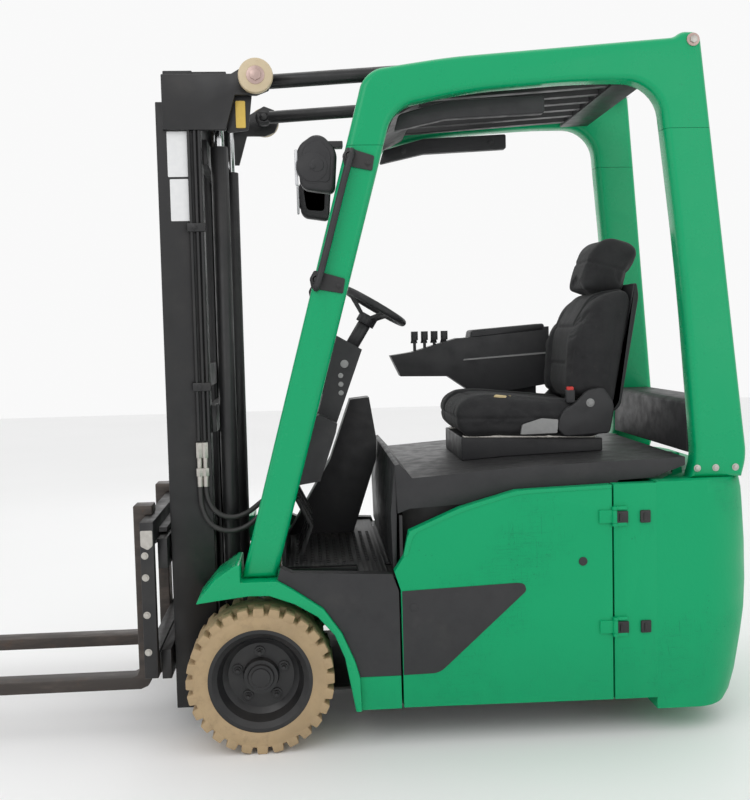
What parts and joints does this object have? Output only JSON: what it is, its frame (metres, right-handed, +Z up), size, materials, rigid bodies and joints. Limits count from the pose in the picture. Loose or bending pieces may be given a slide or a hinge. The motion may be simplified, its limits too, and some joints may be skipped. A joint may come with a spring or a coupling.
{
  "type": "forklift truck",
  "caption": "Three-wheel electric counterbalance forklift with a two-stage mast, side-shifting forks, overhead guard with tilt cylinders at the roof, seat, and steered rear wheels.",
  "frame": {"origin": "on the floor, at the middle of the footprint", "axes": "-X is forwards, towards the fork tips, -Y is the truck's left, +Z is up"},
  "size_m": [3.03, 1.085, 2.2229],
  "materials": {
    "green_paint": "gloss paint, scratched",
    "black_steel": "satin black paint",
    "black_plastic": "grained plastic",
    "tan_tyre": "non-marking rubber, scuffed",
    "black_wheel": "satin black paint",
    "seat_cloth": "worn cloth with a small tear",
    "fork_steel": "worn dark paint",
    "chrome_rod": "hard chrome",
    "floor_rubber": "ribbed rubber",
    "battery_case": "painted steel tray"
  },
  "bodies": {
    "chassis": {"battery": "battery_case", "chassis_frame": "black_steel", "counterweight": "green_paint", "dash": "black_plastic", "drive_axle": "black_steel", "fender_left": "green_paint", "fender_right": "green_paint", "floor_mat": "floor_rubber", "guard_beam_left": "green_paint", "guard_beam_right": "green_paint", "guard_front_left": "green_paint", "guard_front_right": "green_paint", "guard_rear_left": "green_paint", "guard_rear_right": "green_paint", "guard_roof": "black_steel", "hinge_strip_left": "green_paint", "lamp_left": "black_plastic", "lamp_right": "black_plastic", "rear_cover": "black_plastic", "side_panel_right": "green_paint", "steering_column": "black_plastic", "step_left": "black_plastic", "step_right": "black_plastic"},
    "mast": {"mast_outer": "black_steel", "lift_barrels": "black_steel"},
    "inner_mast": {"inner_mast": "black_steel", "lift_rods": "chrome_rod"},
    "carriage": {"carriage": "black_steel"},
    "fork_carrier": {"shift_frame": "black_steel", "fork_left": "fork_steel", "fork_right": "fork_steel"},
    "tilt_barrels": {"tilt_barrels": "black_steel"},
    "tilt_rods": {"tilt_rods": "chrome_rod"},
    "front_wheel_left": {"tyre_left": "tan_tyre", "rim_left": "black_wheel"},
    "front_wheel_right": {"tyre_right": "tan_tyre", "rim_right": "black_wheel"},
    "rear_steer": {"turntable": "black_steel"},
    "rear_wheels": {"rear_tyres": "tan_tyre", "rear_rims": "black_wheel"},
    "battery_door": {"battery_door": "green_paint"},
    "hood": {"hood": "black_plastic", "seat_base": "black_plastic", "seat_cushion": "seat_cloth", "seat_back": "seat_cloth", "armrest": "black_plastic"},
    "steering_wheel": {"steering_wheel": "black_plastic"}
  },
  "joints": [
    {"name": "mast_tilt", "type": "hinge", "parent": "chassis", "child": "mast", "pos_m": [-0.105, 0, 0.229], "axis": [0, 1, 0], "range_deg": [-3, 5]},
    {"name": "mast_lift", "type": "slide", "parent": "mast", "child": "inner_mast", "axis": [0, 0, 1], "range_m": [-0.03, 1.4]},
    {"name": "carriage_lift", "type": "slide", "parent": "inner_mast", "child": "carriage", "axis": [0, 0, 1], "range_m": [-0.03, 1.4]},
    {"name": "side_shift", "type": "slide", "parent": "carriage", "child": "fork_carrier", "axis": [0, 1, 0], "range_m": [-0.08, 0.08]},
    {"name": "tilt_barrel_swing", "type": "hinge", "parent": "mast", "child": "tilt_barrels", "pos_m": [-0.07, 0, 2.109], "axis": [0, 1, 0], "range_deg": [-6, 3.6]},
    {"name": "tilt_rod_slide", "type": "slide", "parent": "tilt_barrels", "child": "tilt_rods", "axis": [0.998, 0, 0.0626], "range_m": [-0.166, 0.1]},
    {"name": "front_wheel_left_roll", "type": "hinge", "parent": "chassis", "child": "front_wheel_left", "pos_m": [-0.105, -0.44, 0.229], "axis": [0, 1, 0], "continuous": true},
    {"name": "front_wheel_right_roll", "type": "hinge", "parent": "chassis", "child": "front_wheel_right", "pos_m": [-0.105, 0.44, 0.229], "axis": [0, 1, 0], "continuous": true},
    {"name": "rear_steering", "type": "hinge", "parent": "chassis", "child": "rear_steer", "pos_m": [1.201, 0, 0.454], "axis": [0, 0, 1], "range_deg": [-85, 85]},
    {"name": "rear_wheels_roll", "type": "hinge", "parent": "rear_steer", "child": "rear_wheels", "pos_m": [1.201, 0, 0.19], "axis": [0, 1, 0], "continuous": true},
    {"name": "battery_door_swing", "type": "hinge", "parent": "chassis", "child": "battery_door", "pos_m": [1.014, -0.53, 0.4], "axis": [0, 0, 1], "range_deg": [0, 100]},
    {"name": "hood_swing", "type": "hinge", "parent": "chassis", "child": "hood", "pos_m": [1.279, 0, 0.862], "axis": [0, 1, 0], "range_deg": [0, 32]},
    {"name": "steering_wheel_turn", "type": "hinge", "parent": "chassis", "child": "steering_wheel", "pos_m": [0.312, 0, 1.388], "axis": [0.524, 0, 0.8517], "continuous": true}
  ],
  "couplings": [
    {"joint": "carriage_lift", "follows": "mast_lift", "ratio": 1},
    {"joint": "tilt_barrel_swing", "follows": "mast_tilt", "ratio": -1.14},
    {"joint": "tilt_rod_slide", "follows": "mast_tilt", "m_per_rad": -1.87}
  ]
}
